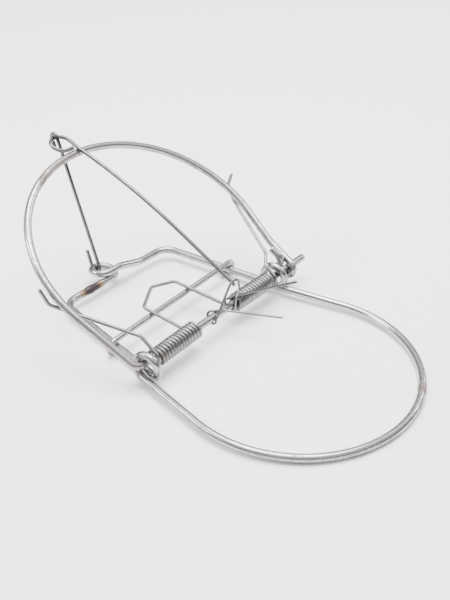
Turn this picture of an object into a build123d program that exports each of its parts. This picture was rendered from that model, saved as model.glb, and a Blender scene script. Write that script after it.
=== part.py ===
from build123d import *

import math
import os

# Snap mouse trap bent from round steel wire, shown set, with the jaw held open.
#
# Building frame: X along the axle, +Y to the back frame, +Z up, millimetres.
# The axle crosses at Y = 0, and Z = 0 is the plane of the base wire's centre line.
# At the end everything is tipped a little and lifted, because the trap stands on
# the nose of its front hoop and on the two cross-bar hooks: the floor is then Z = 0.

# ---- wire sizes (diameters) -------------------------------------------------
FRAME_WIRE = 3.2        # base wire, and the jaw with its axle
BAR_WIRE = 2.5          # cross bar
SPRING_WIRE = 1.5
ROD_WIRE = 1.65         # catch lever
LINK_WIRE = 1.6
TRIGGER_WIRE = 1.0

# ---- clearances -------------------------------------------------------------
TOUCH_GAP = 0.05        # between pieces that rest on each other
SIDE_GAP = 0.1          # between neighbouring turns of wire
RUN_GAP = 0.05          # radial, jaw eye and trigger coils on the axle
SWING_GAP = 0.3         # between a swinging wire and a fixed one beside it

# ---- base wire --------------------------------------------------------------
RAIL_HALF_FRONT = 39.3  # half spacing of the rails at the axle
RAIL_HALF_BACK = 30.0   # half spacing of the rails at the back bar
FRAME_DEPTH = 58.4      # axle to back bar
CORNER_RADIUS = 7.0
RING_RADIUS = 4.8       # rings round the axle, to the wire's centre
RING_SKEW = 1.1         # left ring this far in front of the axle, right one behind it
HOOP_RADIUS = 47.0      # front hoop, to the wire's centre
HOOP_CENTRE_X = -1.6
HOOP_CENTRE_Y = -39.8
TAIL_EYE_RADIUS = 4.8   # eye in the back bar
TAIL_EYE_X = -3.5
EYE_DROP_RUN = 12.0     # the strand over the eye comes back down within this run
WELD_X = -15.5          # butt weld in the back bar
WELD_LENGTH = 2.6
WELD_PROUD = 0.3

# ---- cross bar --------------------------------------------------------------
BAR_Y = 23.0            # behind the axle, at the middle of the bar
BAR_SKEW = 1.7          # the right end lies this much further back than the middle
HOOK_TAIL = 3.4         # hook's end, past the rail's centre, towards the middle
HOOK_SLANT = 1.8        # hook's end lies this much further back than the bar

# ---- jaw --------------------------------------------------------------------
JAW_SET_ANGLE = 30.5    # above the back frame, in degrees, when set
JAW_RADIUS = 51.7       # hoop, to the wire's centre
JAW_CENTRE_X = -0.1
JAW_CENTRE_U = 38.5     # hoop centre from the axle, along the jaw
JAW_ELBOW_RADIUS = 3.0  # where the left leg turns into the axle
JAW_LEFT_PROUD = 2.6    # elbow's corner past the centre of the left ring's last turn
JAW_LIFT_RUN = 14.0     # the right leg rises over the axle within this run
JAW_TAIL = 10.0         # cut end that stands back from the right eye
AXLE_END = 56.4         # the axle's cut end

# ---- spring -----------------------------------------------------------------
COIL_RADIUS = 3.05      # to the wire's centre
COIL_DROOP = 0.45       # the left coil's outer end hangs this much off the axle
LEFT_TURNS = 13         # whole turns, and each coil has half a turn more
RIGHT_TURNS = 13
ARM_DROP = 0.45         # gap under the jaw at the arm's bend, before the bend's rounding
LEFT_REACH = 35.2       # distance along the jaw at which the left arm goes under it
RIGHT_REACH = 39.5
# an arm's corners before it goes under: outwards from the arm, along the jaw, off it
LEFT_RISE = ((0.45, 8.4, 3.6),)
RIGHT_RISE = ((0.25, 5.0, 3.2), (5.45, 9.6, 3.1))
# and after it, to its end: outwards and along from where it goes under, and off the jaw
LEFT_HOOK = ((3.2, 3.6, -2.2), (4.5, 9.4, 1.6))
RIGHT_HOOK = ((3.1, 7.4, -1.9), (7.1, 10.3, 0.55))
BAIL_LEFT = (-15.6, 26.2)
BAIL_TIP = (-3.6, 33.4)
BAIL_RIGHT = (6.2, 29.4)
BAIL_BEND = 2.2

# ---- trigger ----------------------------------------------------------------
CATCH_TOP = 10.8        # catch loop's top above the axle
TRIGGER_COIL_X = (-3.6, 7.5)
PRONG_1_TIP = (14.3, -21.7, 0.4)
PRONG_2_TIP = (37.4, -11.0, 1.2)

# ---- catch lever and link ---------------------------------------------------
LEVER_TIP_X = 9.7
LEVER_TIP_OVER = 1.5    # lever's end past the catch loop
LEVER_CROSS_X = 0.9     # where it lies over the jaw
LEVER_NOSE_SLOPE = 19.0  # its slope there; it is bowed, and steeper towards the tip
LEVER_BOW_RUN = 30.0    # from the jaw to the middle of the bow
LEVER_EYE_RADIUS = 4.4
LEVER_EYE_BACK = 5.6    # eye's centre behind the jaw's nose, along the lever
LINK_GAP = 0.14         # round the wires it hooks over
LINK_TOP_END = 4.0      # free ends, from the wire each hook goes over
LINK_FOOT_END = 8.0

# ---- derived positions ------------------------------------------------------
R_FRAME = FRAME_WIRE / 2
R_BAR = BAR_WIRE / 2
R_SPRING = SPRING_WIRE / 2
R_ROD = ROD_WIRE / 2
R_LINK = LINK_WIRE / 2
R_TRIGGER = TRIGGER_WIRE / 2

TURN = FRAME_WIRE + SIDE_GAP
# The spring pulls the axle up until it bears on the inside of both rings.
RING_PLAY = RING_RADIUS - 2 * R_FRAME - RUN_GAP
AXLE_Z = RING_RADIUS + math.sqrt(RING_PLAY**2 - RING_SKEW**2)
RING_RIGHT = (RAIL_HALF_FRONT, RAIL_HALF_FRONT - TURN)
RING_LEFT = (-RAIL_HALF_FRONT, -RAIL_HALF_FRONT - TURN)

EYE_RADIUS = 2 * R_FRAME + RUN_GAP
JAW_TAIL_X = RING_RIGHT[0] + FRAME_WIRE + SWING_GAP
JAW_LEG_RIGHT_X = JAW_TAIL_X + TURN
JAW_ELBOW_X = RING_LEFT[1] - JAW_LEFT_PROUD

COIL_PITCH = SPRING_WIRE + SIDE_GAP
ARM_LEFT_X = RING_LEFT[0] + R_FRAME + SWING_GAP + R_SPRING
ARM_RIGHT_X = RING_RIGHT[1] - R_FRAME - SWING_GAP - R_SPRING
COIL_LEFT_X = ARM_LEFT_X + SPRING_WIRE + 1.5 * SIDE_GAP
COIL_RIGHT_X = ARM_RIGHT_X - SPRING_WIRE - 1.5 * SIDE_GAP

BAR_Z = R_FRAME + R_BAR + TOUCH_GAP
BAIL_Z = BAR_Z + R_BAR + R_SPRING + TOUCH_GAP


def bent_path(points, bends):
    """A wire's centre line: straight runs between points, with a tangent arc at each corner."""
    corners = [Vector(*p) for p in points]
    radii = bends if isinstance(bends, list) else [bends] * (len(corners) - 2)
    edges = []
    start = corners[0]
    for before, corner, after, radius in zip(corners, corners[1:], corners[2:], radii):
        incoming = (corner - before).normalized()
        outgoing = (after - corner).normalized()
        turn = math.acos(max(-1.0, min(1.0, incoming.dot(outgoing))))
        if turn < 1e-4:
            continue
        setback = radius * math.tan(turn / 2)
        first = corner - incoming * setback
        last = corner + outgoing * setback
        inward = (outgoing - incoming).normalized()
        middle = corner + inward * (radius / math.cos(turn / 2) - radius)
        if (first - start).length > 1e-5:
            edges.append(Edge.make_line(start, first))
        edges.append(Edge.make_three_point_arc(first, middle, last))
        start = last
    edges.append(Edge.make_line(start, corners[-1]))
    return Wire(edges)


def round_wire(path, diameter):
    """The solid wire that follows a centre line."""
    section = Plane(origin=path @ 0, z_dir=path % 0) * Circle(diameter / 2)
    return sweep(section, path=path)


def turned(y, z, angle):
    """A point of the YZ plane turned about the axle."""
    a = math.radians(angle)
    return y * math.cos(a) - z * math.sin(a), y * math.sin(a) + z * math.cos(a)


def square_turns(xs, radius, start, sense):
    """Corners of a square that circles the axle, one for each x, as (x, y, z above the axle).

    start counts right angles: 0 is back-bottom, 1 back-top, 2 front-top, 3 front-bottom.
    """
    ring = [(radius, -radius), (radius, radius), (-radius, radius), (-radius, -radius)]
    return [(x, *ring[(start + sense * k) % 4]) for k, x in enumerate(xs)]


def steps(first, last, count):
    """Evenly spaced values from first to last, set in from both ends by half a step."""
    return [first + (last - first) * (k + 0.5) / count for k in range(count)]


def tangent_to_circle(point, centre, radius, side):
    """Where a line from a point touches a circle, on the side given as +1 or -1."""
    dx, dy = centre[0] - point[0], centre[1] - point[1]
    distance = math.hypot(dx, dy)
    reach = math.sqrt(distance**2 - radius**2)
    heading = math.atan2(dy, dx) + side * math.asin(radius / distance)
    return point[0] + reach * math.cos(heading), point[1] + reach * math.sin(heading)


# ---- base wire: front hoop, a ring at each side, two rails and a back bar ---
def rail_x(y, side):
    """The left (-1) or right (1) rail's centre at a distance behind the axle."""
    half = RAIL_HALF_FRONT + (RAIL_HALF_BACK - RAIL_HALF_FRONT) * y / FRAME_DEPTH
    return side * half


def ring_corners(rail_side, hoop_side, centre_y):
    """One turn round the axle from the end of a rail to the start of the hoop."""
    corners = square_turns(steps(rail_side, hoop_side, 4), RING_RADIUS, 3, -1)
    return [(x, y + centre_y, z + RING_RADIUS) for x, y, z in corners]


def base_half(points, bends, ring, side, hoop):
    """Adds a ring and a hoop leg to a path that ends in a rail."""
    points += ring_corners(*ring, side * RING_SKEW)
    bends += [RING_RADIUS * 0.985] * 4
    touch = tangent_to_circle((ring[1], side * RING_SKEW), hoop, HOOP_RADIUS, side)
    return points, bends, (*touch, 0.0)


def make_base_frame():
    """The one heavy wire, from the middle of its back bar round to the hoop on both sides."""
    hoop = (HOOP_CENTRE_X, HOOP_CENTRE_Y)
    y = FRAME_DEPTH
    r = TAIL_EYE_RADIUS
    rise = FRAME_WIRE + SIDE_GAP
    # right half: over the eye's first strand, down to the rail, and forwards
    weld = (WELD_X, y, 0.0)
    right = [
        weld,
        (TAIL_EYE_X + r, y, 0.0),
        (TAIL_EYE_X + r, y + 2 * r, rise * 0.25),
        (TAIL_EYE_X - r, y + 2 * r, rise * 0.7),
        (TAIL_EYE_X - r, y, rise),
        (TAIL_EYE_X + r + 1.0, y, rise),
        (TAIL_EYE_X + r + 1.0 + EYE_DROP_RUN, y, 0.0),
        (RAIL_HALF_BACK, y, 0.0),
    ]
    bends = [r * 0.97] * 4 + [9.0, 9.0, CORNER_RADIUS]
    right, bends, touch_right = base_half(right, bends, RING_RIGHT, 1, hoop)
    right.append(touch_right)
    right_half = bent_path(right, bends)
    # left half: from the weld to the left rail, and forwards
    left = [weld, (-RAIL_HALF_BACK, y, 0.0)]
    left, bends, touch_left = base_half(left, [CORNER_RADIUS], RING_LEFT, -1, hoop)
    left.append(touch_left)
    left_half = bent_path(left, bends)
    nose = (HOOP_CENTRE_X, HOOP_CENTRE_Y - HOOP_RADIUS, 0.0)
    front = Wire([Edge.make_three_point_arc(touch_right, nose, touch_left)])
    body = round_wire(right_half, FRAME_WIRE)
    body += round_wire(front, FRAME_WIRE)
    body += round_wire(left_half, FRAME_WIRE)
    # the weld bead swells out of the back bar
    bead = Sphere(R_FRAME + WELD_PROUD) & Cylinder(R_FRAME * 2, WELD_LENGTH)
    body += Pos(WELD_X, y, 0) * Rot(0, 90, 0) * bead
    return body


def make_cross_bar():
    """The bar over both rails, hooked round each of them."""
    points = []
    for side in (-1, 1):
        y = BAR_Y + side * BAR_SKEW
        rail = rail_x(y, side)
        out = rail + side * BAR_Z
        hook = [
            (rail - side * HOOK_TAIL, y + HOOK_SLANT, -BAR_Z),
            (out, y + HOOK_SLANT / 2, -BAR_Z),
            (out, y, BAR_Z),
        ]
        points += hook if side < 0 else hook[::-1]
    return round_wire(bent_path(points, BAR_Z * 0.97), BAR_WIRE)


# ---- jaw: in its own frame, X, U along the jaw, N normal to it, from the axle
def set_jaw(points):
    """Jaw points (x, u, n) turned to the set position and moved to the axle."""
    placed = []
    for x, u, n in points:
        y, z = turned(u, n, JAW_SET_ANGLE)
        placed.append((x, y, z + AXLE_Z))
    return placed


def make_jaw():
    """The hoop that snaps shut; its left leg turns into the axle, its right has an eye on it."""
    hoop = (JAW_CENTRE_X, JAW_CENTRE_U)
    # right leg: the standing tail, one turn round the axle, and out to the hoop
    turns = square_turns(steps(JAW_TAIL_X, JAW_LEG_RIGHT_X, 4), EYE_RADIUS, 1, -1)
    touch = tangent_to_circle((JAW_LEG_RIGHT_X, 0.0), hoop, JAW_RADIUS, -1)
    share = JAW_LIFT_RUN / math.hypot(touch[0] - JAW_LEG_RIGHT_X, touch[1])
    low = (
        JAW_LEG_RIGHT_X + (touch[0] - JAW_LEG_RIGHT_X) * share,
        touch[1] * share,
        0.0,
    )
    right = [(JAW_TAIL_X, JAW_TAIL, EYE_RADIUS)] + turns + [low, (*touch, 0.0)]
    right_path = bent_path(set_jaw(right), [EYE_RADIUS * 0.985] * 4 + [25.0])
    # left leg: down from the hoop and through both rings as the axle
    touch_left = tangent_to_circle((JAW_ELBOW_X, 0.0), hoop, JAW_RADIUS, 1)
    left = [(AXLE_END, 0.0, 0.0), (JAW_ELBOW_X, 0.0, 0.0), (*touch_left, 0.0)]
    left_path = bent_path(set_jaw(left), JAW_ELBOW_RADIUS)
    nose = (JAW_CENTRE_X, JAW_CENTRE_U + JAW_RADIUS, 0.0)
    ends = set_jaw([(*touch, 0.0), nose, (*touch_left, 0.0)])
    front = Wire([Edge.make_three_point_arc(*ends)])
    body = round_wire(right_path, FRAME_WIRE)
    body += round_wire(front, FRAME_WIRE)
    body += round_wire(left_path, FRAME_WIRE)
    return body


def make_arm(side, x, rise, reach, hook):
    """A spring arm: half a turn beside the coil, then out under the jaw to its hook."""
    r = COIL_RADIUS
    beside = JAW_CENTRE_X + side * math.sqrt(JAW_RADIUS**2 - (reach - JAW_CENTRE_U) ** 2)
    under = (beside, reach, -R_FRAME - R_SPRING - ARM_DROP)
    points = [(x, 0.0, -r), (x, -r, -r), (x, -r, r)]
    points += [(x + side * out, along, off) for out, along, off in rise]
    points.append(under)
    points += [(beside + side * out, reach + along, off) for out, along, off in hook]
    bends = [r * 0.97] * 2 + [3.0] * len(rise) + [6.0, 2.5]
    return round_wire(bent_path(set_jaw(points), bends), SPRING_WIRE)


# ---- spring coils and the bail that joins them, on the base -----------------
def bail_z(y):
    """The bail climbs evenly from the bottom of the coils to the cross bar and past it."""
    bottom = AXLE_Z - COIL_RADIUS
    return bottom + (BAIL_Z - bottom) * y / (BAR_Y - BAR_SKEW)


def coil_inner(outer, turns, side):
    """Where a coil ends beside the middle of the trap."""
    return outer - side * COIL_PITCH * (turns + 0.5)


def make_coil(outer, turns, side):
    """A coil from its outer end, on top, to its inner end, at the bottom."""
    r = COIL_RADIUS
    inner = coil_inner(outer, turns, side)
    droop = COIL_DROOP if side < 0 else 0.0
    corners = square_turns(steps(outer, inner, 4 * turns + 2), r, 2, 1)
    points = [(outer, 0.0, r)] + corners + [(inner, 0.0, -r)]
    placed = []
    for x, y, z in points:
        fall = droop * (x - inner) / (outer - inner)
        placed.append((x, y - fall, z + AXLE_Z - fall))
    return round_wire(bent_path(placed, r * 0.985), SPRING_WIRE)


def make_bail():
    """The five-sided bridge between the coils, lying on the cross bar."""
    left = coil_inner(COIL_LEFT_X, LEFT_TURNS, -1)
    right = coil_inner(COIL_RIGHT_X, RIGHT_TURNS, 1)
    bottom = AXLE_Z - COIL_RADIUS
    points = [(left, SIDE_GAP, bottom), (left, 2.5, bottom)]
    points += [(x, y, bail_z(y)) for x, y in (BAIL_LEFT, BAIL_TIP, BAIL_RIGHT)]
    points += [(right, 2.5, bottom), (right, SIDE_GAP, bottom)]
    bends = [6.0, BAIL_BEND, BAIL_BEND, BAIL_BEND, 6.0]
    return round_wire(bent_path(points, bends), SPRING_WIRE)


# ---- trigger: two prongs, two coils on the axle and the catch loop ----------
def make_trigger():
    """The thin wire that a mouse treads on, from one prong's tip to the other's."""
    r = R_FRAME + RUN_GAP + R_TRIGGER
    wide = r * 1.04
    left, right = TRIGGER_COIL_X
    top = CATCH_TOP
    over = COIL_RADIUS + R_SPRING + R_TRIGGER + SWING_GAP
    points = [
        PRONG_1_TIP,
        (left + 4.2, -1.6, r + 0.15),
        (left, wide, r),
        (left - 0.3, wide, -r),
        (left - 0.6, -wide, -r),
        (left + 0.4, -wide, 1.2),
        (LEVER_TIP_X - 3.4, -0.1, top - 1.8),
        (LEVER_TIP_X - 2.0, 0.0, top),
        (LEVER_TIP_X + 2.7, 0.0, top),
        (LEVER_TIP_X + 2.8, -0.6, over + 1.4),
        (right + 0.9, -wide, over * 0.9),
        (right + 0.6, -wide, 1.0),
        (right + 0.5, -wide, -r),
        (right, wide, -r),
        (right - 0.9, wide, r + 0.2),
        (right + 0.6, -0.9, over + 0.1),
        PRONG_2_TIP,
    ]
    bends = [6.0, 1.6, 1.6, 1.6, 1.2, 2.0, 1.1, 1.6, 1.5, 1.0, 1.0, 1.6, 1.6, 1.2, 1.0]
    points = [(x, y, z + AXLE_Z) for x, y, z in points]
    return round_wire(bent_path(points, bends), TRIGGER_WIRE)


# ---- catch lever and link ---------------------------------------------------
def jaw_nose():
    """Centre of the jaw's wire at its nose, as (y, z)."""
    y, z = turned(JAW_CENTRE_U + JAW_RADIUS, 0.0, JAW_SET_ANGLE)
    return y, z + AXLE_Z


def lever_frame():
    """Where the lever lies over the jaw, as (y, z), and its direction there."""
    y, z = jaw_nose()
    slope = math.radians(LEVER_NOSE_SLOPE)
    along = (math.cos(slope), math.sin(slope))
    apart = R_FRAME + R_ROD + TOUCH_GAP
    return (y - along[1] * apart, z + along[0] * apart), along


def lever_hinge():
    """Centre of the lever's wire at the very back of its eye, as (x, y, z)."""
    (y, z), along = lever_frame()
    back = LEVER_EYE_BACK + LEVER_EYE_RADIUS
    return LEVER_CROSS_X - LEVER_EYE_RADIUS, y + along[0] * back, z + along[1] * back


def link_hinge():
    """Centre of the base wire at the back of the tail eye, as (x, y, z)."""
    rise = (FRAME_WIRE + SIDE_GAP) * (0.25 + 0.7) / 2
    return TAIL_EYE_X, FRAME_DEPTH + 2 * TAIL_EYE_RADIUS, rise


def make_lever():
    """The bowed rod that holds the jaw down, from its tip in the catch loop to its flat eye."""
    (y, z), along = lever_frame()
    bow = (y - along[0] * LEVER_BOW_RUN, z - along[1] * LEVER_BOW_RUN)
    # the tip bears on the underside of the catch loop, whose top wire runs over y = 0
    loop_z = AXLE_Z + CATCH_TOP
    apart = R_TRIGGER + R_ROD + TOUCH_GAP
    distance = math.hypot(bow[0], bow[1] - loop_z)
    slope = math.atan2(bow[1] - loop_z, bow[0]) + math.asin(apart / distance)
    reach = math.sqrt(distance**2 - apart**2) + LEVER_TIP_OVER
    tip = (bow[0] - reach * math.cos(slope), bow[1] - reach * math.sin(slope))
    lean = (LEVER_TIP_X - LEVER_CROSS_X) / y
    r = LEVER_EYE_RADIUS

    def flat(x, distance):
        """A point of the plane the eye lies in."""
        return (x, y + along[0] * distance, z + along[1] * distance)

    near, far = LEVER_EYE_BACK - r, LEVER_EYE_BACK + r
    x = LEVER_CROSS_X
    points = [
        (LEVER_TIP_X - lean * tip[0], *tip),
        (LEVER_TIP_X - lean * bow[0], *bow),
        flat(x, 0.0),
        flat(x, far),
        flat(x - 2 * r, far),
        flat(x - 2 * r, near),
        flat(x - 2 * R_ROD - SIDE_GAP, near),
    ]
    turn = math.radians(LEVER_NOSE_SLOPE) - slope
    sweep_radius = 0.93 * LEVER_BOW_RUN / math.tan(abs(turn) / 2)
    bends = [sweep_radius, 8.0, r * 0.985, r * 0.985, r * 0.985]
    return round_wire(bent_path(points, bends), ROD_WIRE)


def make_link():
    """The rod from the tail eye of the base up to the lever's eye, hooked at both ends."""
    top = lever_hinge()
    foot = link_hinge()
    heading = math.atan2(top[2] - foot[2], top[1] - foot[1])
    along = (math.cos(heading), math.sin(heading))

    def at(hinge, forward, behind):
        """A point beside a hinge, measured along the link and behind it."""
        y = hinge[1] + along[0] * forward + along[1] * behind
        return (hinge[0], y, hinge[2] + along[1] * forward - along[0] * behind)

    low = R_FRAME + R_LINK + LINK_GAP
    high = R_ROD + R_LINK + LINK_GAP
    points = [
        at(foot, LINK_FOOT_END, low),
        at(foot, -low, low),
        at(foot, -low, -low),
        at(top, high, -high),
        at(top, high, high),
        at(top, -LINK_TOP_END, high),
    ]
    bends = [low * 0.97, low * 0.97, high * 0.97, high * 0.97]
    return round_wire(bent_path(points, bends), LINK_WIRE)


# ---- stand the trap on the floor --------------------------------------------
def stand():
    """The tip and lift that put the hoop's nose and the two hooks on the floor."""
    nose = (HOOP_CENTRE_Y - HOOP_RADIUS, -R_FRAME)
    hooks = (BAR_Y - BAR_SKEW + HOOK_SLANT / 2, -BAR_Z - R_BAR)
    tip = math.degrees(math.atan2(nose[1] - hooks[1], hooks[0] - nose[0]))
    lowest = turned(*hooks, tip)[1]
    return Pos(0, 0, -lowest) * Rot(tip, 0, 0)


def main():
    os.makedirs("parts", exist_ok=True)
    nodes = {
        "base_frame": make_base_frame(),
        "cross_bar": make_cross_bar(),
        "jaw_hoop": make_jaw(),
        "spring_coil_left": make_coil(COIL_LEFT_X, LEFT_TURNS, -1),
        "spring_coil_right": make_coil(COIL_RIGHT_X, RIGHT_TURNS, 1),
        "spring_bail": make_bail(),
        "spring_arm_left": make_arm(-1, ARM_LEFT_X, LEFT_RISE, LEFT_REACH, LEFT_HOOK),
        "spring_arm_right": make_arm(1, ARM_RIGHT_X, RIGHT_RISE, RIGHT_REACH, RIGHT_HOOK),
        "trigger": make_trigger(),
        "lever_rod": make_lever(),
        "link_rod": make_link(),
    }
    placing = stand()
    for name, solid in nodes.items():
        export_step(placing * solid, f"parts/{name}.step")


main()
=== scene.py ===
"""Looks of the snap mouse trap: seven bent steel wires, their finishes, a floor and soft light.

Each wire is a round section carried along its centre line. The centre lines are worked out in
millimetres in the building frame, X along the axle, +Y to the back bar, +Z up, with the axle over
Y = 0 and the base wire's centre at Z = 0. Stance then tips them a little and lifts them, so that
the hoop's nose and the cross bar's hooks stand on the floor, and turns them into metres.
"""

import logging
import math
from dataclasses import dataclass, field
from enum import Enum
from typing import Sequence, Union

import bpy
import numpy as np
from mathutils import Matrix, Vector

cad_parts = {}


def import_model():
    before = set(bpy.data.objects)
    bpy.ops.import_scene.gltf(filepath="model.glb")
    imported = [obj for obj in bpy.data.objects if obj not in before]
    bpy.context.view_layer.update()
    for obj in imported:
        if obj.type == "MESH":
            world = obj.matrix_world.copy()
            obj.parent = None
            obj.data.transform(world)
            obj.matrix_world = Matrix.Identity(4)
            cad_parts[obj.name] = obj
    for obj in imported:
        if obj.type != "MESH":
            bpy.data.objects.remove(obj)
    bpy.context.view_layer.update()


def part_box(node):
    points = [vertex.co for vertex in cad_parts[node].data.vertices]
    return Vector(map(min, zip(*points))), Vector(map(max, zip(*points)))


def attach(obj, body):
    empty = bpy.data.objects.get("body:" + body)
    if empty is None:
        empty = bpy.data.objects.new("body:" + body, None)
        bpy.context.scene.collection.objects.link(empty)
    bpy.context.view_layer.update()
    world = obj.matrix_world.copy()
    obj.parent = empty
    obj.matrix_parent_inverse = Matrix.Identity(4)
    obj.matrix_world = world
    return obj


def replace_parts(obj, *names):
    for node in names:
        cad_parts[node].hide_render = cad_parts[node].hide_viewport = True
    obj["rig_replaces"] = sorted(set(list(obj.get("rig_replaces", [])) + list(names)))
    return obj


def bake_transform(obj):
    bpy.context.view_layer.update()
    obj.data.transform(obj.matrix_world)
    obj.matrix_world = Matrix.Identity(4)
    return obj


LOG = logging.getLogger("trap")
MM = 0.001
STATION_SPACING = 1.0  # sections along a wire, in millimetres
STATION_TURN = math.radians(8.0)  # and at most this much turn between two sections
SAME_POINT = 0.02  # points nearer than this are one
CUT_LENGTH = 0.25  # how far a sheared end's bare metal reaches along the wire
RING_BEND = 0.985  # a ring's bend radius, as a share of its radius
EYE_BEND = 0.97  # the same for a hook or an open eye
Triple = tuple[float, float, float]
Pair = tuple[float, float]


class Side(Enum):
    """Left and right of the trap, as the sign of X."""

    LEFT = -1
    RIGHT = 1


class Body(Enum):
    """The bodies that pieces ride on."""

    BASE = "base"
    JAW = "jaw"
    TRIGGER = "trigger"
    LINK = "link"
    LEVER = "lever"


class Slot(Enum):
    """The record's material slots."""

    BRIGHT = "bright_steel"
    SPRING = "spring_steel"
    GREY = "grey_wire"


# ---- sizes that several wires share ------------------------------------------
@dataclass(frozen=True)
class Gauge:
    """Wire diameters, and the gaps between wires, in millimetres."""

    frame: float = 3.2
    bar: float = 2.5
    spring: float = 1.5
    rod: float = 1.65
    link: float = 1.6
    trigger: float = 1.0
    touch: float = 0.05
    side: float = 0.1
    running: float = 0.05
    swing: float = 0.3


@dataclass(frozen=True)
class Layout:
    """Where the axle, the rings, the rails and the spring lie, in millimetres."""

    gauge: Gauge = field(default_factory=Gauge)
    rail_half_front: float = 39.3
    rail_half_back: float = 30.0
    frame_depth: float = 58.4
    ring_radius: float = 4.8
    ring_skew: float = 1.1
    coil_radius: float = 3.05
    bar_y: float = 23.0
    bar_skew: float = 1.7
    hook_slant: float = 1.8
    hoop_centre: Pair = (-1.6, -39.8)
    hoop_radius: float = 47.0
    tail_eye_x: float = -3.5
    tail_eye_radius: float = 4.8
    jaw_set_angle: float = 30.5
    jaw_centre: Pair = (-0.1, 38.5)
    jaw_radius: float = 51.7
    catch_top: float = 10.8
    lever_tip_x: float = 9.7

    @property
    def turn(self) -> float:
        """Distance between two turns of the heavy wire that lie side by side."""
        return self.gauge.frame + self.gauge.side

    @property
    def axle_z(self) -> float:
        """Height of the axle, which bears on the inside of both rings."""
        play = self.ring_radius - self.gauge.frame - self.gauge.running
        return self.ring_radius + math.sqrt(play**2 - self.ring_skew**2)

    def ring(self, side: Side) -> Pair:
        """Places a ring's two strands.

        Args:
            side: Which side of the trap.

        Returns:
            X of the rail's strand and of the hoop's.
        """
        if side is Side.RIGHT:
            return self.rail_half_front, self.rail_half_front - self.turn
        return -self.rail_half_front, -self.rail_half_front - self.turn

    @property
    def bar_z(self) -> float:
        """Height of the cross bar over the rails, and its hooks' depth under them."""
        return (self.gauge.frame + self.gauge.bar) / 2 + self.gauge.touch

    def arm_x(self, side: Side) -> float:
        """X of the spring's arm, just inside the ring.

        Args:
            side: Which side of the trap.
        """
        beside = (self.gauge.frame + self.gauge.spring) / 2 + self.gauge.swing
        if side is Side.RIGHT:
            return self.ring(side)[1] - beside
        return self.ring(side)[0] + beside

    def coil_x(self, side: Side) -> float:
        """X of a coil's outer end."""
        return self.arm_x(side) - side.value * (self.gauge.spring + 1.5 * self.gauge.side)

    def rail_x(self, y: float, side: Side) -> float:
        """X of a rail's centre at a distance behind the axle."""
        narrowing = (self.rail_half_back - self.rail_half_front) * y / self.frame_depth
        return side.value * (self.rail_half_front + narrowing)

    def set_jaw(self, points: np.ndarray) -> np.ndarray:
        """Points of the jaw (x, along it, off it) turned to its set angle and moved to the axle."""
        placed = turned(points, self.jaw_set_angle)
        return placed + np.array([0.0, 0.0, self.axle_z])


@dataclass(frozen=True)
class Stance:
    """How the trap stands: tipped about X and lifted, so that nose and hooks rest on the floor."""

    layout: Layout

    @property
    def _feet(self) -> tuple[Pair, Pair]:
        """The hoop's nose and the lower cross-bar hook, as (y, z) of their lowest points."""
        lay, gauge = self.layout, self.layout.gauge
        nose = (lay.hoop_centre[1] - lay.hoop_radius, -gauge.frame / 2)
        hooks = (lay.bar_y - lay.bar_skew + lay.hook_slant / 2, -lay.bar_z - gauge.bar / 2)
        return nose, hooks

    @property
    def tip(self) -> float:
        """Tip about X, in degrees."""
        nose, hooks = self._feet
        return math.degrees(math.atan2(nose[1] - hooks[1], hooks[0] - nose[0]))

    def place(self, points: np.ndarray) -> np.ndarray:
        """Stands points on the floor.

        Args:
            points: Points of the building frame, in millimetres.

        Returns:
            The same points in the scene, in metres.
        """
        hooks = np.array([[0.0, *self._feet[1]]])
        lift = -turned(hooks, self.tip)[0, 2]
        return (turned(points, self.tip) + np.array([0.0, 0.0, lift])) * MM

    def turn(self, direction: Vector) -> Vector:
        """A direction of the building frame as a direction of the scene."""
        return Vector(turned(np.array([list(direction)]), self.tip)[0])


# ---- centre lines -------------------------------------------------------------
def turned(points: np.ndarray, angle: float) -> np.ndarray:
    """Points turned about the X axis: y' = y cos a - z sin a, z' = y sin a + z cos a.

    Args:
        points: An array of (x, y, z).
        angle: The turn in degrees.

    Returns:
        The turned points.
    """
    a = math.radians(angle)
    x, y, z = np.asarray(points, float).T
    return np.stack([x, y * math.cos(a) - z * math.sin(a), y * math.sin(a) + z * math.cos(a)], 1)


def square_turns(xs: np.ndarray, radius: float, start: int, sense: int) -> list[Triple]:
    """Corners of a square that circles the axle, one for each x.

    Args:
        xs: The corners' x.
        radius: Half the square's side.
        start: The first corner: 0 back-bottom, 1 back-top, 2 front-top, 3 front-bottom.
        sense: +1 or -1, the way round.

    Returns:
        The corners as (x, y, z above the axle).
    """
    ring = [(radius, -radius), (radius, radius), (-radius, radius), (-radius, -radius)]
    return [(float(x), *ring[(start + sense * k) % 4]) for k, x in enumerate(xs)]


def steps(first: float, last: float, count: int) -> np.ndarray:
    """Evenly spaced values from first to last, set in from both ends by half a step."""
    return first + (last - first) * (np.arange(count) + 0.5) / count


def tangent_to_circle(point: Pair, centre: Pair, radius: float, side: int) -> Pair:
    """Where a line from a point touches a circle.

    Args:
        point: The point outside the circle.
        centre: The circle's centre.
        radius: The circle's radius.
        side: +1 or -1, which of the two tangents.

    Returns:
        The place where they touch.
    """
    dx, dy = centre[0] - point[0], centre[1] - point[1]
    distance = math.hypot(dx, dy)
    reach = math.sqrt(distance**2 - radius**2)
    heading = math.atan2(dy, dx) + side * math.asin(radius / distance)
    return point[0] + reach * math.cos(heading), point[1] + reach * math.sin(heading)


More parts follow.
